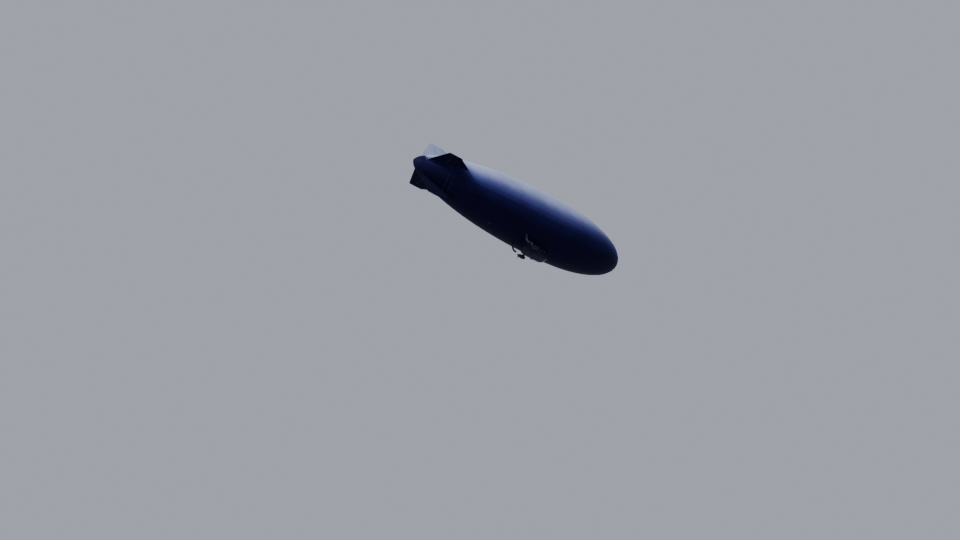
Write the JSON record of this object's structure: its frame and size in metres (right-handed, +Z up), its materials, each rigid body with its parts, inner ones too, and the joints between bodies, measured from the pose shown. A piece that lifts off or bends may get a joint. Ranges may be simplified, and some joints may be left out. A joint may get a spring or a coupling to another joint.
{
  "type": "advertising blimp balloon, 1:2 scale model",
  "caption": "Pressure airship as a 1:2 scale model: long streamlined envelope, plus tail with hinged flaps, and a glazed car with two pusher engines and a castoring wheel.",
  "frame": {"origin": "the envelope's centre of buoyancy, on the envelope's axis", "axes": "+X to the nose, +Y to port, +Z up"},
  "size_m": [29.5143, 7, 8.835],
  "materials": {
    "envelope_cloth": "satin",
    "fin_cloth": "satin",
    "scoop_cloth": "matte",
    "car_paint": "satin",
    "bare_metal": "satin",
    "engine_metal": "matte",
    "fitting_grey": "matte",
    "glazing": "gloss",
    "seat_cover": "matte",
    "blade_black": "satin",
    "red_lamp": "gloss",
    "tyre": "matte"
  },
  "bodies": {
    "ship": {"envelope": "envelope_cloth", "nose_dish": "bare_metal", "tail_cap": "bare_metal", "nose_battens": "bare_metal", "mooring_spindle": "bare_metal", "fin_dorsal": "fin_cloth", "fin_starboard": "fin_cloth", "fin_ventral": "fin_cloth", "fin_port": "fin_cloth", "stays_upper_starboard": "bare_metal", "stays_lower_starboard": "bare_metal", "stays_lower_port": "bare_metal", "stays_upper_port": "bare_metal", "air_valve_fore": "fitting_grey", "air_valve_aft": "fitting_grey", "gas_valve": "fitting_grey", "beacon_top": "red_lamp", "car_roof": "car_paint", "car_floor": "car_paint", "car_side_port": "car_paint", "car_side_starboard": "car_paint", "car_nose": "car_paint", "car_tail": "car_paint", "windscreen": "glazing", "window_tail": "glazing", "windows_port": "glazing", "windows_starboard_fore": "glazing", "windows_starboard_aft": "glazing", "car_fairing": "car_paint", "pilot_seat_port": "seat_cover", "pilot_seat_starboard": "seat_cover", "passenger_seats": "seat_cover", "instrument_panel": "fitting_grey", "elevator_wheel": "bare_metal", "handrail_port": "bare_metal", "handrail_starboard": "bare_metal", "engine_cowling_port": "car_paint", "engine_cowling_starboard": "car_paint", "engine_block_port": "engine_metal", "engine_block_starboard": "engine_metal", "exhaust_port": "engine_metal", "exhaust_starboard": "engine_metal", "outrigger_port": "car_paint", "outrigger_starboard": "car_paint", "air_scoop_port": "scoop_cloth", "air_scoop_starboard": "scoop_cloth", "landing_strut": "bare_metal"},
    "upper_rudder": {"rudder_upper": "fin_cloth"},
    "lower_rudder": {"rudder_lower": "fin_cloth"},
    "port_elevator": {"elevator_port": "fin_cloth"},
    "starboard_elevator": {"elevator_starboard": "fin_cloth"},
    "door": {"passenger_door": "car_paint", "door_glass": "glazing"},
    "port_propeller": {"propeller_port": "blade_black"},
    "starboard_propeller": {"propeller_starboard": "blade_black"},
    "fork": {"landing_fork": "bare_metal"},
    "wheel": {"wheel_rim": "bare_metal", "wheel_tyre": "tyre"}
  },
  "joints": [
    {"name": "rudder_upper_swing", "type": "hinge", "parent": "ship", "child": "upper_rudder", "pos_m": [-13, 0, 2.6], "axis": [0, 0, 1], "range_deg": [-25, 25]},
    {"name": "rudder_lower_swing", "type": "hinge", "parent": "ship", "child": "lower_rudder", "pos_m": [-13, 0, -2.5], "axis": [0, 0, 1], "range_deg": [-25, 25]},
    {"name": "elevator_port_swing", "type": "hinge", "parent": "ship", "child": "port_elevator", "pos_m": [-13, 2.6, 0], "axis": [0, 1, 0], "range_deg": [-25, 25]},
    {"name": "elevator_starboard_swing", "type": "hinge", "parent": "ship", "child": "starboard_elevator", "pos_m": [-13, -2.6, 0], "axis": [0, 1, 0], "range_deg": [-25, 25]},
    {"name": "door_swing", "type": "hinge", "parent": "ship", "child": "door", "pos_m": [1.047, -0.545, -4.08], "axis": [0, 0, 1], "range_deg": [0, 100]},
    {"name": "propeller_port_spin", "type": "hinge", "parent": "ship", "child": "port_propeller", "pos_m": [-0.115, 1.15, -4.42], "axis": [1, 0, 0], "continuous": true},
    {"name": "propeller_starboard_spin", "type": "hinge", "parent": "ship", "child": "starboard_propeller", "pos_m": [-0.115, -1.15, -4.42], "axis": [1, 0, 0], "continuous": true},
    {"name": "fork_swivel", "type": "hinge", "parent": "ship", "child": "fork", "pos_m": [0.9, 0, -4.88], "axis": [0, 0, 1], "continuous": true},
    {"name": "wheel_spin", "type": "hinge", "parent": "fork", "child": "wheel", "pos_m": [0.83, 0, -5.1], "axis": [0, 1, 0], "continuous": true}
  ],
  "couplings": [
    {"joint": "rudder_lower_swing", "follows": "rudder_upper_swing", "ratio": 1},
    {"joint": "elevator_starboard_swing", "follows": "elevator_port_swing", "ratio": 1}
  ]
}
